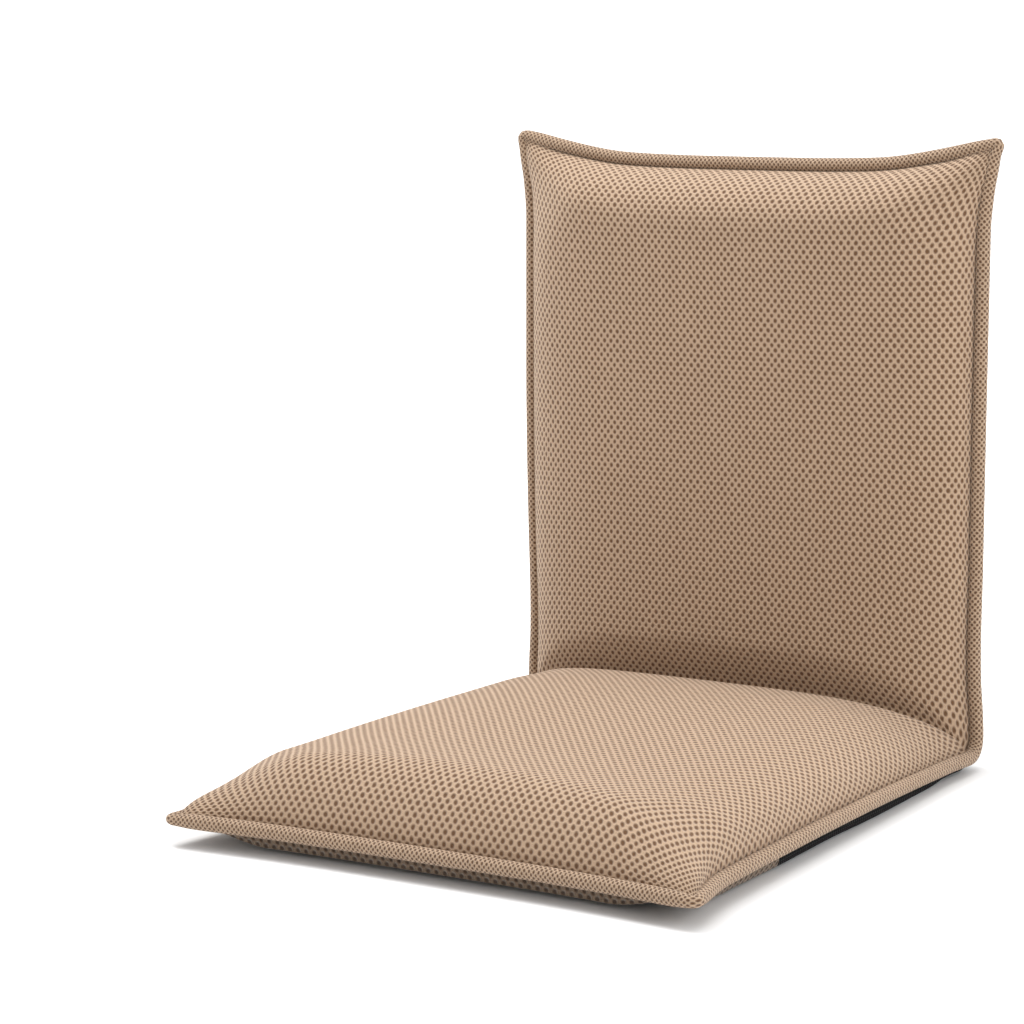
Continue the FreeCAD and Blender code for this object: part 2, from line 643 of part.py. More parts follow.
# ================================================================ welts
def welt(side):
    """A round tube along the pad's edge: straight past the hinge, flaring to a rounded tip, and gently hollow at the end."""
    val = lambda name: float(sheet.get(name))
    half, tip_x, start = val("welt_half"), val("tip_half"), val("welt_start")
    end, tip = val(side + "_len"), val(side + "_tip")
    rnd, flare, flat = val("tip_round"), val("flare_side"), val("flare_end")
    # one half, from the hinge to the middle of the end; a = distance along the pad
    # side flare: an arc tangent to the side, through the tip corner
    d, o = flare, tip_x - half
    r1 = (d * d + o * o) / (2 * o)
    c1 = (half + r1, tip - flare)
    d, o = tip_x - flat, tip - end
    r2 = (d * d + o * o) / (2 * o)
    c2 = (flat, end + r2)
    # rounding circle, outside both arcs (towards the pad's middle)
    q1, q2 = r1 + rnd, r2 + rnd
    dx, dy = c2[0] - c1[0], c2[1] - c1[1]
    dist = math.hypot(dx, dy)
    along = (q1 * q1 - q2 * q2 + dist * dist) / (2 * dist)
    off = math.sqrt(max(q1 * q1 - along * along, 0))
    best = None
    for s in (1, -1):
        px = c1[0] + (along * dx - s * off * dy) / dist
        py = c1[1] + (along * dy + s * off * dx) / dist
        gap = math.hypot(px - tip_x, py - tip)
        if best is None or gap < best[0]:
            best = (gap, px, py)
    c3 = best[1:]

    def toward(c, p, r):
        k = math.hypot(p[0] - c[0], p[1] - c[1])
        return (c[0] + (p[0] - c[0]) * r / k, c[1] + (p[1] - c[1]) * r / k)

    t1, t2 = toward(c1, c3, r1), toward(c2, c3, r2)
    out = (tip_x - c3[0], tip - c3[1])
    k = math.hypot(*out)
    m3 = (c3[0] + out[0] / k * rnd, c3[1] + out[1] / k * rnd)
    m1 = toward(c1, ((half + t1[0]) / 2, (tip - flare + t1[1]) / 2), r1)
    m2 = toward(c2, ((flat + t2[0]) / 2, (end + t2[1]) / 2), r2)
    drop = val("welt_drop")
    V = lambda p: Vector(p[0], -p[1], drop) if side == "seat" else Vector(p[0], -drop, p[1])
    f = lambda p: (-p[0], p[1])
    s1, s2 = (half, start), (half, tip - flare)
    e2 = (flat, end)
    edges = [
        Part.LineSegment(V(s1), V(s2)), Part.Arc(V(s2), V(m1), V(t1)), Part.Arc(V(t1), V(m3), V(t2)),
        Part.Arc(V(t2), V(m2), V(e2)), Part.LineSegment(V(e2), V(f(e2))), Part.Arc(V(f(e2)), V(f(m2)), V(f(t2))),
        Part.Arc(V(f(t2)), V(f(m3)), V(f(t1))), Part.Arc(V(f(t1)), V(f(m1)), V(f(s2))), Part.LineSegment(V(f(s2)), V(f(s1))),
    ]
    wire = Part.Wire([e.toShape() for e in edges])
    normal = V((half, start + 1)) - V((half, start))
    circle = Part.Wire([Part.Circle(V(s1), normal, val("welt_rad")).toShape()])
    shape = wire.makePipeShell([circle], True, True)
    want = wire.Length * math.pi * val("welt_rad") ** 2
    print("%s welt: path %.1f mm, volume %.0f of %.0f" % (side, wire.Length, shape.Volume, want))
    obj = doc.addObject("Part::Feature", fresh("welt"))
    obj.Shape = shape
    at(obj, 0, g.pivot_y, g.pivot_z)
    return node(obj, "%s_welt" % side)


welt("seat")
welt("back")
doc.recompute()

# ================================================================ check and write
bad = []
for obj in doc.Objects:
    if "Invalid" in obj.State or "Error" in obj.State:
        bad.append("%s (%s): %s" % (obj.Name, obj.Label, obj.State))
labels = set()
for obj in NODES:
    s = obj.Shape
    if s.isNull() or not s.isValid() or not s.Solids or s.Volume <= 0:
        bad.append("%s: shape is null, open or not valid" % obj.Label)
    if obj.Label in labels or len(obj.Label) > 59:
        bad.append("%s: label taken or too long" % obj.Label)
    labels.add(obj.Label)
if bad:
    raise SystemExit("\n".join(bad))

os.makedirs("parts", exist_ok=True)
for old in os.listdir("parts"):
    if old.endswith(".step"):
        os.remove(os.path.join("parts", old))
total = Part.Compound([o.Shape for o in NODES]).BoundBox
for obj in NODES:
    b = obj.Shape.BoundBox
    print("%-26s solids %d  vol %9.0f  x %.1f..%.1f  y %.1f..%.1f  z %.1f..%.1f" % (
        obj.Label, len(obj.Shape.Solids), obj.Shape.Volume, b.XMin, b.XMax, b.YMin, b.YMax, b.ZMin, b.ZMax))
    obj.Shape.exportStep(os.path.join("parts", obj.Label + ".step"))
print("nodes %d, box x %.2f..%.2f  y %.2f..%.2f  z %.2f..%.2f" % (
    len(NODES), total.XMin, total.XMax, total.YMin, total.YMax, total.ZMin, total.ZMax))
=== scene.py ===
import json
import math

import bmesh
import bpy
import numpy as np
from mathutils import Matrix, Vector


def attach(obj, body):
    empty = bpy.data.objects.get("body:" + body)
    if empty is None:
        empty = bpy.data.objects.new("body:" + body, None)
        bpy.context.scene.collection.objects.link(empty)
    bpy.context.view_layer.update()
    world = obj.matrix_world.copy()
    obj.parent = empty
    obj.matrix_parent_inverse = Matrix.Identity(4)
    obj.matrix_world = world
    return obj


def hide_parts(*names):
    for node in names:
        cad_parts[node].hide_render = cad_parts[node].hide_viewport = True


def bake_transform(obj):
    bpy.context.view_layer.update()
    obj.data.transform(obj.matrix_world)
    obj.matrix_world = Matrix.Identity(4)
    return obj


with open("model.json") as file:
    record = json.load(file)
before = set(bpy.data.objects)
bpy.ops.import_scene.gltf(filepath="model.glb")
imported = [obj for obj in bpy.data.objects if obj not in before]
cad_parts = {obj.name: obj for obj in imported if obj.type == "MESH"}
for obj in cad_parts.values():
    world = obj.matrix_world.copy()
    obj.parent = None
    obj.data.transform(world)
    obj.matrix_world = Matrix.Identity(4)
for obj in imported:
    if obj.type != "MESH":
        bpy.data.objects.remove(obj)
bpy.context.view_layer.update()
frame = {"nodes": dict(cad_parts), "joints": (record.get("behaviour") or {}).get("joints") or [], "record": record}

nodes = frame["nodes"]

# ------------------------------------------------------------------------------------------------ camera
cam_data = bpy.data.cameras.new("photo_camera")
cam_data.sensor_width = 36.0
cam_data.lens = 107.877
cam_data.clip_start, cam_data.clip_end = 0.05, 60.0
cam = bpy.data.objects.new("photo_camera", cam_data)
bpy.context.scene.collection.objects.link(cam)
look = Vector((-0.49995349, 0.8520779, -0.15495085)).normalized()
side = look.cross(Vector((0, 0, 1))).normalized()
over = side.cross(look)
cam.matrix_world = Matrix((
    (side.x, over.x, -look.x, 1.36972),
    (side.y, over.y, -look.y, -2.50304),
    (side.z, over.z, -look.z, 0.73066),
    (0, 0, 0, 1)))
bpy.context.scene.camera = cam
bpy.context.scene.view_settings.view_transform = "Standard"


# ------------------------------------------------------------------------------------------------ helpers
def smooth(t):
    t = np.clip(t, 0.0, 1.0)
    return t * t * (3 - 2 * t)


def curve(xs, ys):
    """A smooth curve through points that never overshoots them."""
    xs, ys = np.array(xs, float), np.array(ys, float)
    h, d = np.diff(xs), np.diff(ys) / np.diff(xs)
    m = np.zeros(len(xs))
    m[0], m[-1] = d[0], d[-1]
    for i in range(1, len(xs) - 1):
        if d[i - 1] * d[i] > 0:
            w1, w2 = 2 * h[i] + h[i - 1], h[i] + 2 * h[i - 1]
            m[i] = (w1 + w2) / (w1 / d[i - 1] + w2 / d[i])

    def at(x):
        x = np.clip(np.asarray(x, float), xs[0], xs[-1])
        i = np.clip(np.searchsorted(xs, x) - 1, 0, len(h) - 1)
        t = (x - xs[i]) / h[i]
        return ((1 + 2 * t) * (1 - t) ** 2 * ys[i] + t * (1 - t) ** 2 * h[i] * m[i]
                + t * t * (3 - 2 * t) * ys[i + 1] + t * t * (t - 1) * h[i] * m[i + 1])

    return at


def new_object(name, verts, faces, mats=(), smooth_faces=True):
    me = bpy.data.meshes.new(name)
    me.from_pydata([tuple(v) for v in verts], [], [tuple(int(i) for i in f) for f in faces])
    me.validate()
    me.update()
    ob = bpy.data.objects.new(name, me)
    bpy.context.scene.collection.objects.link(ob)
    for m in mats:
        me.materials.append(m)
    if smooth_faces:
        me.polygons.foreach_set("use_smooth", [True] * len(me.polygons))
    return ob


def put_uv(ob, name, uv):
    """One UV pair per vertex, or per corner where the caller gives that many."""
    me = ob.data
    layer = me.uv_layers.new(name=name)
    uv = np.asarray(uv, float)
    if len(uv) == len(me.vertices):
        idx = np.zeros(len(me.loops), np.int32)
        me.loops.foreach_get("vertex_index", idx)
        uv = uv[idx]
    layer.data.foreach_set("uv", uv.astype(np.float32).ravel())


# ------------------------------------------------------------------------------------------------ the bend at the hinge
# Shapes are worked out with the chair flat, in millimetres: x across, A along (seat < 0 < back), h up, all from the hinge axis.
# Upright, a point at angle psi about the axis (0 seat, 90 up, 180 back) stands at phi = psi - 90 w, and w is its share of the back's turn.
recline = next(j for j in frame["joints"] if j["name"] == "back_recline")
PY, PZ = recline["pos_m"][1] * 1000, recline["pos_m"][2] * 1000
TOP0, TOP1 = 30.0, 60.0
LOW0, LOW1 = -60.0, -210.0
_pt = np.linspace(TOP0, TOP1, 2001)
_wt = smooth((_pt - TOP0) / (TOP1 - TOP0))
_pb = np.linspace(LOW0, LOW1, 4001)
_wb = smooth((_pb - LOW0) / (LOW1 - LOW0))


def share(psi):
    """w for a flat-pose angle in degrees, from -180 to 180."""
    w = np.where(psi > 0, np.interp(psi, _pt + 90 * _wt, _wt),
                 np.interp(-psi, -(_pb + 90 * _wb), _wb))
    w = np.where((psi >= LOW0) & (psi <= TOP0), 0.0, w)
    return w


def stand_up(x, A, h):
    """Flat-pose points to the upright chair, and their share of the back's turn."""
    r = np.hypot(A, h)
    psi = np.degrees(np.arctan2(h, -A))
    w = share(psi)
    phi = np.radians(psi - 90 * w)
    y = PY - r * np.cos(phi)
    z = PZ + r * np.sin(phi)
    return np.stack([x, y, z], -1) / 1000.0, w


def bend_with(ob):
    """Bakes the piece's transform into its mesh; the bend is already in its points from stand_up."""
    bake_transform(ob)


# ------------------------------------------------------------------------------------------------ the pad's outline, flat pose
WELT_R = 7.1
half_back = curve([0, 20, 41, 60, 97, 181, 346, 509, 534, 547, 560, 572, 585, 592], [254.5, 254, 252.6, 251.4, 250.8, 252, 253, 253, 254.9, 256.3, 258.6, 261.1, 263.8, 265.6])
half_seat = curve([0, 20, 45, 100, 200, 500, 545, 565, 580, 592, 604, 614, 622], [254.5, 254, 253, 252.8, 253, 253, 253.8, 255.4, 257.8, 260.2, 262.6, 264.6, 266.3])
low_seat = curve([0, 10, 34, 86, 143, 250, 400, 640], [-17, -16.4, -15.3, -13.6, -11.8, -9.4, -8.2, -8])
low_back = curve([0, 12, 40, 90, 160, 250, 350, 640], [-17, -16.8, -15.6, -14, -12.2, -9.6, -8.2, -8])
END = {"seat": (611.0, 11.0), "back": (566.0, 24.0)}
TIP = {"seat": 622.0, "back": 590.0}


rise_seat = curve([0, 50, 100, 140, 180, 210, 230, 248, 262, 268], [0, 0.0, 0.04, 0.14, 0.33, 0.54, 0.71, 0.89, 1.04, 1.10])
rise_back = curve([0, 60, 100, 140, 160, 183, 200, 220, 240, 262, 268], [0, 0.005, 0.03, 0.09, 0.165, 0.31, 0.44, 0.61, 0.80, 1.03, 1.09])


def end_of(side, x):
    base, rise = END[side]
    return base + rise * (rise_seat if side == "seat" else rise_back)(np.abs(x))


def half_of(side, a):
    return half_seat(a) if side == "seat" else half_back(a)


def low_of(side, a):
    return low_seat(a) if side == "seat" else low_back(a)


def tip_near(side, x, a):
    """1 at the corner tip, 0 away from it."""
    d = np.hypot(np.abs(x) - 262, a - (TIP[side] - 4))
    return 1 - smooth((d - 10) / 42)


# ------------------------------------------------------------------------------------------------ upper cloth
# a section across is (1 - u^n)^(1/m) of the height, the slope at the end (1 - (1 - d/60)^2.5)^0.61
crest = {"seat": curve([0, 60, 150, 300, 450, 560, 640], [50.5, 50.0, 57.2, 59.2, 59.2, 61.2, 61.2]),
         "back": curve([0, 60, 200, 300, 400, 480, 530, 640], [50.5, 49.4, 47.6, 47.6, 50, 54, 55.5, 55.5])}
crown = {"seat": (0.8, 5.3), "back": (0.8, 7.0)}
full_n = {"seat": curve([0, 200, 500, 640], [5.2, 4.4, 3.0, 3.0]), "back": curve([0, 200, 400, 500, 640], [5.2, 4.9, 5.6, 6.0, 6.0])}
full_m = {"seat": curve([0, 200, 500, 640], [1.45, 2.03, 3.9, 3.9]), "back": curve([0, 200, 400, 500, 640], [1.45, 2.0, 1.9, 1.8, 1.8])}
SEAM = 5.8


def end_rise(d):
    return (1 - np.clip(1 - d / 60.0, 0, 1) ** 2.5) ** 0.61


def tip_cut(side, x, a):
    """Less height towards a corner tip."""
    return 0.46 + 0.54 * smooth(np.hypot(np.abs(x) - 262, a - (TIP[side] - 4)) / 118.0)


def upper(side, u, t):
    """Flat-pose x, a, h of the upper cloth: u from -1 to 1 across, t from 0 at the hinge to 1 at the far seam."""
    tip_a = TIP[side]
    an = t * tip_a
    off = SEAM - 3.8 * smooth((an - (tip_a - 52)) / 44)
    x = u * (half_of(side, an) - off)
    offe = SEAM - 3.8 * smooth((np.abs(x) - 214) / 44)
    e0 = end_of(side, 0.0) - SEAM
    a = t * (e0 + (end_of(side, x) - offe - e0) * t ** 7)
    d = np.clip(end_of(side, x) - offe - a, 0, None)
    across = np.clip(1 - np.abs(u) ** full_n[side](a), 0, None) ** (1 / full_m[side](a))
    rise = end_rise(d)
    s = 1 - ((1 - across) ** 1.67 + (1 - rise) ** 1.67) ** (1 / 1.67)
    s = 0.5 * (s + np.sqrt(s * s + 0.0009)) - 0.015 * (1 - s)
    s = np.clip(s, 0, 1) * tip_cut(side, x, a)
    c0, c1 = crown[side]
    top_h = crest[side](a) - (c0 + (c1 - c0) * smooth(a / 150.0)) * (x / 250.0) ** 2
    base = low_of(side, a) + 1.4 + 2.6 * tip_near(side, x, a)
    return x, a, base + (top_h - base) * s


def spread(f, n, lo=0.0, hi=1.0, fine=4000):
    """n + 1 parameters from lo to hi, evenly spaced along the curve f."""
    t = np.linspace(lo, hi, fine)
    p = f(t)
    s = np.concatenate([[0], np.cumsum(np.linalg.norm(np.diff(p, axis=0), axis=1))])
    return np.interp(np.linspace(0, s[-1], n + 1), s, t), s[-1]


def mid_section(u):
    x, a, h = upper("seat", u, np.full_like(u, 0.5))
    return np.stack([x, h], -1)


NU = 100
u_half, _ = spread(mid_section, NU // 2, 0.0, 1.0, 200001)
u_cols = np.concatenate([-u_half[:0:-1], u_half])


def arc_of(points):
    return np.concatenate([[0], np.cumsum(np.linalg.norm(np.diff(points, axis=0), axis=1))])


def rows_for(side):
    """Row parameters: evenly spaced along the pad, crowded at the hinge, where the side wraps round the corner."""
    def middle(t):
        x, a, h = upper(side, np.full_like(t, 0.0), t)
        return np.stack([a, h], -1)
    t, length = spread(middle, 92, 0.0, 1.0, 60001)
    near = np.array([0.35, 0.8, 1.4, 2.2, 3.3, 4.8]) / TIP[side]
    return np.concatenate([[0], near, t[t > 6.3 / TIP[side]]])


t_seat, t_back = rows_for("seat"), rows_for("back")


def grid(fn, t_s, t_b, cols):
    xs, As, hs = [], [], []
    for side, ts in (("seat", t_s[::-1]), ("back", t_b[1:])):
        U, T = np.meshgrid(cols, ts)
        x, a, h = fn(side, U, T)
        xs.append(x); As.append(-a if side == "seat" else a); hs.append(h)
    return np.concatenate(xs), np.concatenate(As), np.concatenate(hs)


def grid_faces(rows, cols, flip=False):
    i = np.arange(rows - 1)[:, None] * cols + np.arange(cols - 1)[None, :]
    f = np.stack([i, i + 1, i + cols + 1, i + cols], -1).reshape(-1, 4)
    return f[:, ::-1] if flip else f


X, A, H = grid(upper, t_seat, t_back, u_cols)
rows, cols = X.shape
pts, W = stand_up(X.ravel(), A.ravel(), H.ravel())
P3 = pts.reshape(rows, cols, 3)

# cloth coordinates in metres, measured along the standing cloth: U across, V along. Near the crease each column is measured on its
# own, and the difference is taken up further out; the knit is a little wider and longer on the seat than on the back.
mid_row = rows // 4
zero = len(t_seat) - 1
Uc = arc_of(P3[mid_row]); Uc -= Uc[cols // 2]
own = np.concatenate([np.zeros((1, cols)), np.cumsum(np.linalg.norm(np.diff(P3, axis=0), axis=2), axis=0)])
own -= own[zero][None, :]
Vc = own[:, cols // 2]
kept = 1 - smooth((np.abs(A) - 90) / 330.0)
step = np.diff(own - Vc[:, None], axis=0) * 0.5 * (kept[1:] + kept[:-1])
extra = np.concatenate([np.zeros((1, cols)), np.cumsum(step, axis=0)])
extra -= extra[zero][None, :]
let_go = 0.45 * (1 - smooth((np.abs(A) - 70) / 280.0))
V2 = Vc[:, None] + extra * let_go
on_seat = smooth(0.5 - A / 240.0)
U2 = Uc[None, :] * (1.030 * on_seat + 1.026 * (1 - on_seat))
V2 = V2 * np.where(A < 0, 1 - 0.075 * smooth(-A / 500.0), 1.0)
cloth_uv = np.stack([U2, V2], -1).reshape(-1, 2)
bake_uv = np.stack([np.broadcast_to((Uc - Uc[0]) / np.ptp(Uc), (rows, cols)),
                    np.broadcast_to(((Vc - Vc[0]) / np.ptp(Vc))[:, None], (rows, cols))], -1).reshape(-1, 2) * 0.99 + 0.005


# ------------------------------------------------------------------------------------------------ materials
class Tree:
    """Small shader-graph writer."""

    def __init__(self, name, **principled):
        self.mat = bpy.data.materials.new(name)
        self.mat.use_nodes = True
        self.nt = self.mat.node_tree
        self.bsdf = next(n for n in self.nt.nodes if n.type == "BSDF_PRINCIPLED")
        for k, v in principled.items():
            self.bsdf.inputs[k.replace("_", " ")].default_value = v

    def node(self, kind, **props):
        n = self.nt.nodes.new(kind)
        for k, v in props.items():
            setattr(n, k, v)
        return n

    def feed(self, socket, v):
        if hasattr(v, "is_output"):
            self.nt.links.new(v, socket)
        elif v is not None:
            socket.default_value = v

    def m(self, op, a, b=None, c=None, clamp=False):
        n = self.node("ShaderNodeMath", operation=op, use_clamp=clamp)
        for s, v in zip(n.inputs, (a, b, c)):
            self.feed(s, v)
        return n.outputs[0]

    def ramp(self, v, lo, hi, a=0.0, b=1.0, kind="SMOOTHSTEP"):
        n = self.node("ShaderNodeMapRange", interpolation_type=kind, clamp=True)
        for s, x in zip(n.inputs, (v, lo, hi, a, b)):
            self.feed(s, x)
        return n.outputs[0]

    def uv(self, name):
        return self.node("ShaderNodeUVMap", uv_map=name).outputs[0]

    def obj(self):
        return self.node("ShaderNodeTexCoord").outputs["Object"]

    def split(self, vec):
        n = self.node("ShaderNodeSeparateXYZ")
        self.feed(n.inputs[0], vec)
        return n.outputs

    def join(self, x, y, z=0.0):
        n = self.node("ShaderNodeCombineXYZ")
        for s, v in zip(n.inputs, (x, y, z)):
            self.feed(s, v)
        return n.outputs[0]

    def noise(self, vec, scale, detail=3.0, rough=0.5):
        n = self.node("ShaderNodeTexNoise")
        self.feed(n.inputs["Vector"], vec)
        n.inputs["Scale"].default_value = scale
        n.inputs["Detail"].default_value = detail
        n.inputs["Roughness"].default_value = rough
        return n.outputs[0]

    def mix(self, f, a, b):
        n = self.node("ShaderNodeMix", data_type="RGBA")
        self.feed(n.inputs[0], f)
        for s, v in ((n.inputs[6], a), (n.inputs[7], b)):
            if isinstance(v, tuple):
                v = (*v, 1.0) if len(v) == 3 else v
            self.feed(s, v)
        return n.outputs[2]

    def bump(self, height, distance, strength=1.0, normal=None):
        n = self.node("ShaderNodeBump")
        n.inputs["Strength"].default_value = strength
        n.inputs["Distance"].default_value = distance
        self.feed(n.inputs["Height"], height)
        if normal is not None:
            self.feed(n.inputs["Normal"], normal)
        return n.outputs[0]

    def out(self, colour=None, rough=None, normal=None):
        if colour is not None:
            self.feed(self.bsdf.inputs["Base Color"], colour)
        if rough is not None:
            self.feed(self.bsdf.inputs["Roughness"], rough)
        if normal is not None:
            self.feed(self.bsdf.inputs["Normal"], normal)
        return self.mat


def air_mesh(name, cell_u, cell_v, radius, light, dark, tall=1.0, weight=1.0):
    """Knitted spacer mesh: a staggered lattice of round eyelets in a fine knit. Cloth coordinates come from the map 'cloth', in metres."""
    t = Tree(name, Sheen_Weight=0.25, Sheen_Roughness=0.5, Specular_IOR_Level=0.25)
    t.bsdf.inputs["Sheen Tint"].default_value = (1.0, 0.93, 0.84, 1.0)
    uv = t.uv("cloth")
    s = t.split(uv)
    # a slight unevenness of the knit
    wob = t.noise(uv, 240.0, 1.0)
    wob2 = t.noise(t.join(s[1], s[0], 0.0), 260.0, 1.0)
    pu = t.m("DIVIDE", t.m("ADD", s[0], t.m("MULTIPLY", t.m("SUBTRACT", wob, 0.5), 0.0010)), cell_u)
    pv = t.m("DIVIDE", t.m("ADD", s[1], t.m("MULTIPLY", t.m("SUBTRACT", wob2, 0.5), 0.0010)), cell_v)

    def away(shift):
        fu = t.m("MULTIPLY", t.m("SUBTRACT", t.m("FRACT", t.m("ADD", pu, shift)), 0.5), cell_u)
        fv = t.m("MULTIPLY", t.m("SUBTRACT", t.m("FRACT", t.m("ADD", pv, shift)), 0.5), cell_v)
        fv = t.m("MULTIPLY", fv, 1 / tall)
        return t.m("SQRT", t.m("ADD", t.m("MULTIPLY", fu, fu), t.m("MULTIPLY", fv, fv)))

    # every second row of eyelets is a little smaller
    d = t.m("MINIMUM", away(0.0), t.m("ADD", away(0.5), radius * 0.08))
    hole = t.ramp(d, radius * 0.45, radius * 1.30, 1.0, 0.0)
    rim = t.m("SUBTRACT", t.ramp(d, radius * 0.95, radius * 1.35, 0.0, 1.0), t.ramp(d, radius * 1.35, radius * 2.0, 0.0, 1.0))
    # knit: fine ribs along the cloth, crossed by stitches
    ribs = t.m("SINE", t.m("MULTIPLY", s[0], 2 * math.pi / 0.00086))
    course = t.m("SINE", t.m("MULTIPLY", s[1], 2 * math.pi / 0.0011))
    knit = t.m("MULTIPLY", t.m("ADD", ribs, t.m("MULTIPLY", course, t.m("SIGN", ribs))), 0.25)
    big = t.noise(uv, 9.0, 2.0)
    fine = t.noise(uv, 900.0, 2.0)
    tone = t.m("ADD", t.m("MULTIPLY", t.m("SUBTRACT", big, 0.5), 0.14), t.m("MULTIPLY", t.m("SUBTRACT", fine, 0.5), 0.22))
    tone = t.m("ADD", tone, t.m("MULTIPLY", knit, 0.10))
    tone = t.m("ADD", tone, t.m("MULTIPLY", rim, 0.16))
    face = t.mix(t.m("ADD", 0.5, tone, clamp=True), tuple(c * 0.80 for c in light), tuple(min(1, c * 1.20) for c in light))
    colour = t.mix(t.m("MULTIPLY", hole, weight), face, dark)
    rough = t.ramp(hole, 0.0, 1.0, 0.78, 0.95, "LINEAR")
    height = t.m("SUBTRACT", t.m("ADD", t.m("MULTIPLY", rim, 0.30), t.m("MULTIPLY", knit, 0.10)), hole)
    return t.out(colour, rough, t.bump(height, 0.0011, 0.9))


LIGHT = (0.452, 0.314, 0.211)
DARK = (0.132, 0.066, 0.032)
mat_tan = air_mesh("tan_air_mesh", 0.0080, 0.0099, 0.00222, LIGHT, DARK, tall=1.14)
mat_welt = air_mesh("welt_air_mesh", 0.0056, 0.0060, 0.00158, LIGHT, (0.118, 0.060, 0.030))
# painted shade: the front underside is the same tan mesh, with the base darkened to 0.40 and the dots to 0.34 to stand
# in for the shade under the front edge
mat_underside_painted_shade = air_mesh("underside_air_mesh_painted_shade", 0.0080, 0.0099, 0.00222, tuple(c * 0.40 for c in LIGHT), tuple(c * 0.34 for c in DARK), tall=1.14)


def black_cloth():
    t = Tree("antislip_black_cloth", Specular_IOR_Level=0.12)
    uv = t.uv("cloth")
    s = t.split(uv)
    cell = 0.0042

    def away(shift):
        fu = t.m("SUBTRACT", t.m("FRACT", t.m("ADD", t.m("DIVIDE", s[0], cell), shift)), 0.5)
        fv = t.m("SUBTRACT", t.m("FRACT", t.m("ADD", t.m("DIVIDE", s[1], cell), shift)), 0.5)
        return t.m("SQRT", t.m("ADD", t.m("MULTIPLY", fu, fu), t.m("MULTIPLY", fv, fv)))

    d = t.m("MINIMUM", away(0.0), away(0.5))
    pip = t.ramp(d, 0.15, 0.22, 1.0, 0.0)
    weave = t.m("MULTIPLY", t.m("SINE", t.m("MULTIPLY", s[0], 2 * math.pi / 0.0007)), t.m("SINE", t.m("MULTIPLY", s[1], 2 * math.pi / 0.0007)))
    big = t.noise(uv, 14.0, 3.0)
    face = t.mix(big, (0.0035, 0.0035, 0.0037), (0.009, 0.009, 0.0095))
    colour = t.mix(pip, face, (0.004, 0.004, 0.004))
    rough = t.ramp(pip, 0.0, 1.0, 0.92, 0.42, "LINEAR")
    height = t.m("ADD", pip, t.m("MULTIPLY", weave, 0.12))
    return t.out(colour, rough, t.bump(height, 0.0004, 0.8))


mat_black = black_cloth()


def painted_steel():
    t = Tree("frame_black_paint", Specular_IOR_Level=0.5, Coat_Weight=0.25, Coat_Roughness=0.25)
    o = t.obj()
    peel = t.noise(o, 420.0, 2.0)
    wear = t.noise(o, 60.0, 6.0, 0.65)
    chip = t.ramp(wear, 0.66, 0.70)
    colour = t.mix(chip, (0.012, 0.012, 0.013), (0.10, 0.09, 0.085))
    return t.out(colour, t.ramp(peel, 0.3, 0.7, 0.34, 0.5), t.bump(peel, 0.0002, 0.4))


def hinge_steel():
    t = Tree("hinge_zinc_steel", Metallic=1.0, Specular_IOR_Level=0.5)
    o = t.obj()
    s = t.split(o)
    grain = t.noise(t.join(t.m("MULTIPLY", s[0], 30.0), s[1], t.m("MULTIPLY", s[2], 14.0)), 220.0, 3.0)
    bloom = t.noise(o, 90.0, 4.0)
    colour = t.mix(bloom, (0.42, 0.42, 0.43), (0.62, 0.61, 0.58))
    return t.out(colour, t.ramp(grain, 0.2, 0.8, 0.28, 0.46), t.bump(grain, 0.0001, 0.35))


def plastic(name, base, alt, r0, r1, metal=0.0):
    t = Tree(name, Specular_IOR_Level=0.5, Metallic=metal)
    o = t.obj()
    n = t.noise(o, 1400.0, 2.0)
    big = t.noise(o, 130.0, 3.0)
    return t.out(t.mix(big, base, alt), t.ramp(n, 0.3, 0.7, r0, r1), t.bump(n, 0.00008, 0.5))


def woven(name, base, alt, pitch, axes=(0, 1)):
    t = Tree(name, Sheen_Weight=0.2, Specular_IOR_Level=0.3)
    s = t.split(t.obj())
    a = t.m("SINE", t.m("MULTIPLY", s[axes[0]], 2 * math.pi / pitch))
    b = t.m("SINE", t.m("MULTIPLY", t.m("ADD", s[axes[1]], s[2] if axes[1] != 2 else s[1]), 2 * math.pi / pitch))
    w = t.m("MULTIPLY", a, b)
    n = t.noise(t.obj(), 700.0, 3.0)
    f = t.m("ADD", t.m("MULTIPLY", w, 0.35), n, clamp=True)
    return t.out(t.mix(f, base, alt), t.ramp(n, 0.2, 0.8, 0.8, 0.95), t.bump(t.m("ADD", w, n), 0.0003, 0.6))


def felt():
    t = Tree("grey_needle_felt", Sheen_Weight=0.3, Specular_IOR_Level=0.2)
    o = t.obj()
    n = t.noise(o, 600.0, 6.0, 0.75)
    m = t.noise(o, 45.0, 3.0)
    f = t.m("ADD", t.m("MULTIPLY", n, 0.7), t.m("MULTIPLY", m, 0.3))
    return t.out(t.mix(f, (0.09, 0.09, 0.095), (0.32, 0.315, 0.31)), t.ramp(n, 0.0, 1.0, 0.85, 1.0), t.bump(n, 0.0008, 0.8))


finish = {
    "frame_steel": painted_steel(),
    "hinge_steel": hinge_steel(),
    "black_plastic": plastic("plug_black_plastic", (0.010, 0.010, 0.011), (0.020, 0.020, 0.021), 0.38, 0.55),
    "black_webbing": woven("elastic_webbing", (0.010, 0.010, 0.011), (0.035, 0.035, 0.036), 0.0016),
    "grey_felt": felt(),
    "zip_metal": plastic("zip_bronze_metal", (0.20, 0.13, 0.08), (0.30, 0.20, 0.12), 0.30, 0.42, metal=0.9),
    "zip_tape": woven("zip_tape_weave", (0.36, 0.235, 0.145), (0.50, 0.34, 0.215), 0.0009, axes=(0, 2)),
    "zip_coil": plastic("zip_coil_nylon", (0.30, 0.185, 0.11), (0.40, 0.26, 0.16), 0.35, 0.5),
    "foam": plastic("foam", (0.75, 0.68, 0.42), (0.85, 0.78, 0.52), 0.9, 1.0),
}
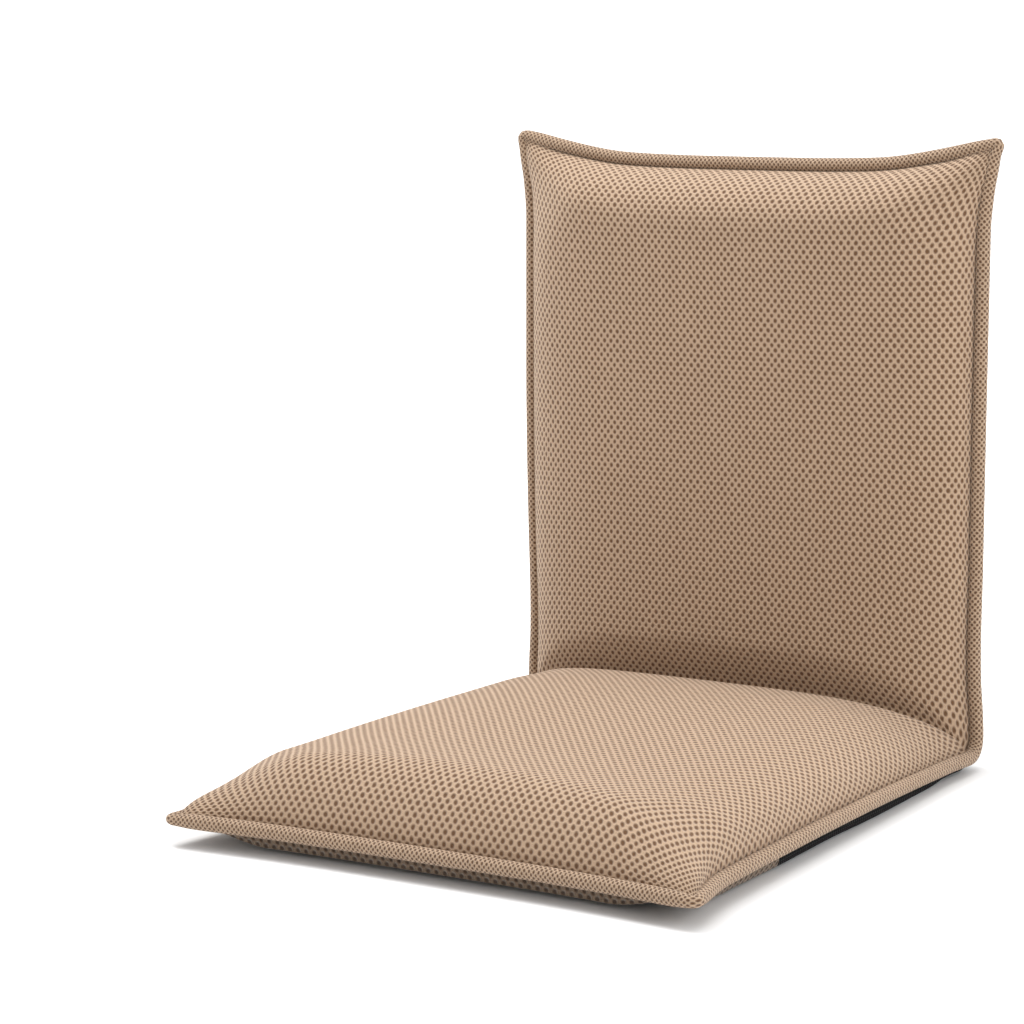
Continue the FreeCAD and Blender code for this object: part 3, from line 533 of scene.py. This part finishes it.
for part in frame["record"]["subparts"]:
    ob = nodes[part["node"]]
    mat = finish.get(part["material_slot"])
    if mat is not None:
        ob.data.materials.clear()
        ob.data.materials.append(mat)
        for p in ob.data.polygons:
            p.material_index = 0

# ------------------------------------------------------------------------------------------------ upper cushion cloth
top = new_object("cushion_top_cover", pts, grid_faces(rows, cols), [mat_tan])
put_uv(top, "cloth", cloth_uv)
put_uv(top, "OFBake", bake_uv)
bend_with(top)
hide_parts("seat_top_cover", "back_front_cover", "seat_foam", "back_foam")

# ------------------------------------------------------------------------------------------------ underside cloths
BLACK_END = 423.0


def boxy(a):
    """Where the underside stands squarest beside the hinge."""
    return smooth((a - 40) / 50) * (1 - smooth((a - 190) / 130))


def lower(side, u, t):
    """Flat-pose x, a, h of the underside."""
    tip_a = TIP[side]
    an = t * tip_a
    off = SEAM - 3.4 * smooth((an - (tip_a - 52)) / 44) - 1.6 * boxy(an)
    x = u * (half_of(side, an) - off)
    offe = SEAM - 3.4 * smooth((np.abs(x) - 214) / 44)
    e0 = end_of(side, 0.0) - SEAM
    a = t * (e0 + (end_of(side, x) - offe - e0) * t ** 7)
    d = np.clip(end_of(side, x) - offe - a, 0, None)
    n = 13.0 + 9.0 * boxy(a) - 4.0 * smooth((a - 410) / 120)
    across = np.clip(1 - np.abs(u) ** n, 0, None) ** (1 / n)
    depth = 31.5 + 0.1 * smooth((a - 20) / 60) - 0.4 * smooth((a - 400) / 60)
    if side == "back":      # the zip lies in a shallow fold of the cloth
        depth = depth - 1.6 * np.exp(-((a - 470.0) / 11.5) ** 6) * (1 - smooth((np.abs(x) - 172) / 8))
    rise = (1 - np.clip(1 - d / 90.0, 0, 1) ** 3) ** 0.11
    q = tip_near(side, x, a)
    base = low_of(side, a) - 1.2 - 3.6 * q
    cut = 0.2 + 0.8 * smooth((np.hypot(np.abs(x) - 262, a - (tip_a - 4)) - 10) / 80.0)
    return x, a, base - (depth + base) * across * rise * cut


def low_section(u):
    x, a, h = lower("seat", u, np.full_like(u, 0.4))
    return np.stack([x, h], -1)


ul_half, _ = spread(low_section, 54, 0.0, 1.0, 200001)
ul = np.concatenate([-ul_half[:0:-1], ul_half])


def hinge_rows():
    """Flat-pose distances either side of the hinge that are evenly spaced once the cloth wraps round the corner."""
    phi = np.linspace(-135, -62, 15)
    psi = phi + 90 * smooth((phi - LOW0) / (LOW1 - LOW0))
    return 31.7 / np.tan(np.radians(-psi))


def part_rows(side, lo, hi, step):
    n = max(2, int(round((hi - lo) / step)))
    return np.linspace(lo, hi, n + 1)


def underside(name, spans, mats):
    """spans: list of (side, t values) in order along the chair."""
    xs, As, hs = [], [], []
    for side, ts in spans:
        Ug, Tg = np.meshgrid(ul, ts)
        x, a, h = lower(side, Ug, Tg)
        xs.append(x); As.append(-a if side == "seat" else a); hs.append(h)
    x, A_, h = np.concatenate(xs), np.concatenate(As), np.concatenate(hs)
    p, w = stand_up(x.ravel(), A_.ravel(), h.ravel())
    r, c = x.shape
    ob = new_object(name, p, grid_faces(r, c, flip=True), mats)
    g3 = p.reshape(r, c, 3)
    Uu = arc_of(g3[r // 2]); Uu -= Uu[c // 2]
    Vv = arc_of(g3[:, c // 2])
    uvs = np.stack([np.broadcast_to(Uu, (r, c)), np.broadcast_to(Vv[:, None], (r, c))], -1).reshape(-1, 2)
    put_uv(ob, "cloth", uvs)
    fit = np.stack([np.broadcast_to((Uu - Uu[0]) / np.ptp(Uu), (r, c)), np.broadcast_to((Vv / np.ptp(Vv))[:, None], (r, c))], -1).reshape(-1, 2)
    put_uv(ob, "OFBake", fit * 0.99 + 0.005)
    return ob, w, (x, A_, h)


def t_at(side, a):
    """The row parameter whose middle lies at distance a."""
    t = np.linspace(0, 1, 4001)
    _, aa, _ = lower(side, np.zeros_like(t), t)
    return float(np.interp(a, aa, t))


hr = hinge_rows()
hr = hr[1:]
black_t = {}
for sd in ("seat", "back"):
    tb = t_at(sd, BLACK_END)
    near = np.array([t_at(sd, v) for v in hr])
    far = part_rows(sd, near[-1], tb, 8.0 / TIP[sd])[1:]
    black_t[sd] = np.concatenate([[0.0], near, far])
black, wb, _ = underside("underside_black_cloth", [("seat", black_t["seat"][::-1]), ("back", black_t["back"][1:])], [mat_black])
bend_with(black)
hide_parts("seat_antislip_panel", "back_antislip_panel")

front_t = np.concatenate([part_rows("seat", black_t["seat"][-1], 0.955, 7.0 / 622), np.linspace(0.955, 1, 12)[1:]])
# the front underside takes the darkened copy of the tan mesh, which is painted shade
front, _, _ = underside("seat_front_underside", [("seat", front_t[::-1])], [mat_underside_painted_shade])
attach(front, "seat")
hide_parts("seat_front_underpanel")
rear_t = np.concatenate([part_rows("back", black_t["back"][-1], 0.955, 3.2 / 590), np.linspace(0.955, 1, 12)[1:]])
rear, _, _ = underside("back_top_rear_cloth", [("back", rear_t)], [mat_tan])
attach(rear, "back")
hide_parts("back_top_rear_panel")


# ------------------------------------------------------------------------------------------------ seam stitches on the underside
def stitches(name, side):
    """Two rows of short thread stitches beside the seam between black cloth and mesh, each a small six-sided bead."""
    verts, faces = [], []
    for x in np.arange(-222, 223, 5.2):
        for a in (BLACK_END - 3.0, BLACK_END - 7.5):
            t_ = t_at(side, a)
            hx = half_of(side, a) - SEAM
            _, aa, h = lower(side, np.array([x / hx]), np.array([t_]))
            hh = float(h[0]) + 0.1
            b = len(verts)
            for dx, r in ((-1.75, 0.18), (-1.1, 0.42), (1.1, 0.42), (1.75, 0.18)):
                for q in range(6):
                    verts.append((x + dx, float(aa[0]) + r * math.cos(q * math.pi / 3), hh + r * math.sin(q * math.pi / 3)))
            for k in range(3):
                for q in range(6):
                    faces.append((b + k * 6 + q, b + k * 6 + (q + 1) % 6, b + (k + 1) * 6 + (q + 1) % 6, b + (k + 1) * 6 + q))
            faces.append(tuple(b + q for q in range(5, -1, -1)))
            faces.append(tuple(b + 18 + q for q in range(6)))
    v = np.array(verts)
    p, _ = stand_up(v[:, 0], -v[:, 1] if side == "seat" else v[:, 1], v[:, 2])
    ob = new_object(name, p, faces, [mat_thread])
    sm = bmesh.new()
    sm.from_mesh(ob.data)
    bmesh.ops.recalc_face_normals(sm, faces=sm.faces[:])
    sm.to_mesh(ob.data)
    sm.free()
    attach(ob, side)
    return ob


mat_thread = plastic("seam_thread", (0.05, 0.048, 0.045), (0.09, 0.086, 0.08), 0.55, 0.7)
stitches("seat_seam_stitches", "seat")
stitches("back_seam_stitches", "back")


# ------------------------------------------------------------------------------------------------ welt
CORNER = {("seat", 1): (270.0, 624.0), ("seat", -1): (275.5, 627.5), ("back", 1): (275.0, 597.0), ("back", -1): (271.0, 593.0)}


def welt_line():
    """The welt's middle line, flat pose: closed, starting at the middle of the front."""
    def quarter(side, sign):
        """From the hinge corner out along the side, round the tip and in to the middle of the end."""
        tip_a = TIP[side]
        a = np.concatenate([hinge_line[:-1], np.linspace(hinge_line[-1], tip_a - 7, 150)])
        sx, sa = half_of(side, a), a
        xe = np.linspace(261, 0, 80)
        ex, ea = xe, end_of(side, xe)
        # round the tip with a quadratic curve between the two runs; the four tips aren't quite alike
        k = np.linspace(0, 1, 18)[1:-1]
        p0, p2 = np.array([sx[-1], sa[-1]]), np.array([ex[0], ea[0]])
        p1 = np.array(CORNER[side, sign])
        bx = (1 - k) ** 2 * p0[0] + 2 * k * (1 - k) * p1[0] + k ** 2 * p2[0]
        ba = (1 - k) ** 2 * p0[1] + 2 * k * (1 - k) * p1[1] + k ** 2 * p2[1]
        x = np.concatenate([sx, bx, ex]); aa = np.concatenate([sa, ba, ea])
        return x * sign, aa

    phi = np.linspace(-135, -62, 25)
    psi = phi + 90 * smooth((phi - LOW0) / (LOW1 - LOW0))
    hinge_line = 16.5 / np.tan(np.radians(-psi))
    lines = []
    for side, sign, rev in (("seat", 1, True), ("back", 1, False), ("back", -1, True), ("seat", -1, False)):
        x, a = quarter(side, sign)
        h = low_of(side, a)
        A_ = -a if side == "seat" else a
        p = np.stack([x, A_, h], -1)
        lines.append(p[::-1] if rev else p)
    p = np.concatenate([lines[0][:-1], lines[1][:-1], lines[2][:-1], lines[3][:-1]])
    return p


line = welt_line()
stood, _ = stand_up(line[:, 0], line[:, 1], line[:, 2])
stood *= 1000
# even spacing along the standing line, and a light smoothing
loop = np.vstack([stood, stood[:1]])
seg = arc_of(loop)
NR = int(seg[-1] / 3.6)
keep = np.linspace(0, seg[-1], NR + 1)[:-1]
centre = np.stack([np.interp(keep, seg, loop[:, k]) for k in range(3)], -1)
for _ in range(3):
    centre = centre * 0.5 + 0.25 * (np.roll(centre, 1, 0) + np.roll(centre, -1, 0))
tangent = np.roll(centre, -1, 0) - np.roll(centre, 1, 0)
tangent /= np.linalg.norm(tangent, axis=1)[:, None]
# outward direction of the pad at each ring, for an untwisted frame
mid = np.array([0, PY - 20, PZ + 20])
NS = 24


def back_to_flat(p):
    """The inverse of stand_up for points in millimetres, with w, by the angle they stand at."""
    y, z = p[:, 1] - PY, p[:, 2] - PZ
    phi = np.degrees(np.arctan2(z, -y))
    # outside the corner phi runs from -60 down to -210
    ph = np.where(phi > 100, phi - 360, phi)
    w = np.where(ph < 0, smooth((ph - LOW0) / (LOW1 - LOW0)), smooth((ph - TOP0) / (TOP1 - TOP0)))
    w = np.where((ph > LOW0) & (ph < TOP0), 0.0, w)
    psi = np.radians(ph + 90 * w)
    r = np.hypot(y, z)
    return np.stack([p[:, 0], -r * np.cos(psi), r * np.sin(psi)], -1), w


up = np.zeros_like(centre)
_, wc = back_to_flat(centre)
ang = np.radians(90.0 * wc)
up[:, 1], up[:, 2] = -np.sin(ang), np.cos(ang)      # the sat-on side: +Z on the seat, -Y on the back
up -= tangent * (up * tangent).sum(1)[:, None]
up /= np.linalg.norm(up, axis=1)[:, None]
out = np.cross(tangent, up)
th = np.linspace(0, 2 * math.pi, NS + 1)[:-1]
# the round thins towards the four tips
corner_y, corner_z = PY - (TIP["seat"] + 1), PZ + TIP["back"] + 1
to_tip = np.minimum(np.hypot(np.hypot(np.abs(centre[:, 0]) - 268, centre[:, 1] - corner_y), centre[:, 2] - (PZ - 8)),
                    np.hypot(np.hypot(np.abs(centre[:, 0]) - 267, centre[:, 1] - (PY + 8)), centre[:, 2] - corner_z))
radius = WELT_R - 1.8 * np.exp(-(to_tip / 17.0) ** 2)
rings = centre[:, None, :] + radius[:, None, None] * (np.cos(th)[None, :, None] * out[:, None, :] + np.sin(th)[None, :, None] * up[:, None, :])
wv = rings.reshape(-1, 3)
i = np.arange(NR)[:, None] * NS
j = np.arange(NS)[None, :]
i2, j2 = (np.arange(NR)[:, None] + 1) % NR * NS, (j + 1) % NS
wf = np.stack([i + j, i + j2, i2 + j2, i2 + j], -1).reshape(-1, 4)
welt = new_object("edge_welt", wv / 1000.0, wf[:, ::-1], [mat_welt])
# cloth coordinates per corner, whole lattice cells round the tube and along the loop
ring_len = np.linalg.norm(np.roll(centre, -1, 0) - centre, axis=1)
ends = smooth(np.abs(tangent[:, 0]))
ring_cells = ring_len / (4.7 * ends + 6.0 * (1 - ends))
vpos = np.concatenate([[0], np.cumsum(ring_cells)])
vpos *= round(vpos[-1]) / vpos[-1] * 0.0060
upos = np.arange(NS + 1) / NS * 8 * 0.0056
fu = np.stack([j + 0 * i, j + 1 + 0 * i, j + 1 + 0 * i, j + 0 * i], -1).reshape(-1, 4)[:, ::-1]
fi = np.arange(NR)[:, None] + 0 * j
fv = np.stack([fi, fi, fi + 1, fi + 1], -1).reshape(-1, 4)[:, ::-1]
put_uv(welt, "cloth", np.stack([upos[fu], vpos[fv]], -1).reshape(-1, 2))
# a folded strip map for the bake: the loop cut into 12 lengths laid side by side
strips = 12
vs = vpos[fv] / vpos[-1] * strips
k = np.minimum(np.floor(vs.min(axis=1)), strips - 1)[:, None]
bu = (k + 0.04 + 0.92 * upos[fu] / upos[-1]) / strips
put_uv(welt, "OFBake", np.stack([bu, np.clip(vs - k, 0, 1.02) * 0.97 + 0.01], -1).reshape(-1, 2))
bend_with(welt)
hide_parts("seat_welt", "back_welt")

# ------------------------------------------------------------------------------------------------ floor and light
floor_mat = Tree("pale_floor", Specular_IOR_Level=0.1)
o = floor_mat.obj()
n = floor_mat.noise(o, 2.0, 2.0)
fs = floor_mat.split(o)
far = floor_mat.m("SQRT", floor_mat.m("ADD", floor_mat.m("ADD", floor_mat.m("MULTIPLY", fs[0], fs[0]), floor_mat.m("MULTIPLY", fs[1], fs[1])), floor_mat.m("MULTIPLY", fs[2], fs[2])))
floor_mat.out(floor_mat.mix(n, (0.86, 0.86, 0.86), (0.88, 0.88, 0.88)), 0.9)
floor_mat.bsdf.inputs["Emission Color"].default_value = (1, 1, 1, 1)
floor_mat.feed(floor_mat.bsdf.inputs["Emission Strength"], floor_mat.ramp(far, 0.9, 3.2, 0.0, 0.55))
bm = bmesh.new()
prof = [(-14, 0), (5, 0)]
for k in range(1, 13):
    a_ = math.pi / 2 * k / 12
    prof.append((5 + 3 * math.sin(a_), 3 - 3 * math.cos(a_)))
prof.append((8, 9))
left = [bm.verts.new((-14, y, z)) for y, z in prof]
right = [bm.verts.new((14, y, z)) for y, z in prof]
for k in range(len(prof) - 1):
    bm.faces.new((left[k], right[k], right[k + 1], left[k + 1]))
fme = bpy.data.meshes.new("studio_floor")
bm.to_mesh(fme); bm.free()
fme.materials.append(floor_mat.mat)
fme.polygons.foreach_set("use_smooth", [True] * len(fme.polygons))
floor = bpy.data.objects.new("studio_floor", fme)
bpy.context.scene.collection.objects.link(floor)

world = bpy.data.worlds.new("studio")
bpy.context.scene.world = world
world.use_nodes = True
world.node_tree.nodes["Background"].inputs[0].default_value = (1, 1, 1, 1)
world.node_tree.nodes["Background"].inputs[1].default_value = 0.74


def area(name, where, to, size, power, colour=(1, 1, 1)):
    l = bpy.data.lights.new(name, "AREA")
    l.shape = "RECTANGLE"
    l.size, l.size_y = size
    l.energy = power
    l.color = colour
    ob = bpy.data.objects.new(name, l)
    bpy.context.scene.collection.objects.link(ob)
    ob.location = where
    d = Vector(to) - Vector(where)
    ob.rotation_euler = d.to_track_quat("-Z", "Y").to_euler()
    return ob


area("top_soft", (0.2, 0.3, 3.6), (0, 0, 0.2), (2.6, 2.6), 62)
area("left_top", (-1.8, 0.2, 3.2), (0, 0, 0.2), (1.4, 1.4), 80)
area("right_fill", (3.2, -0.4, 1.8), (0, 0, 0.2), (1.8, 1.8), 36)
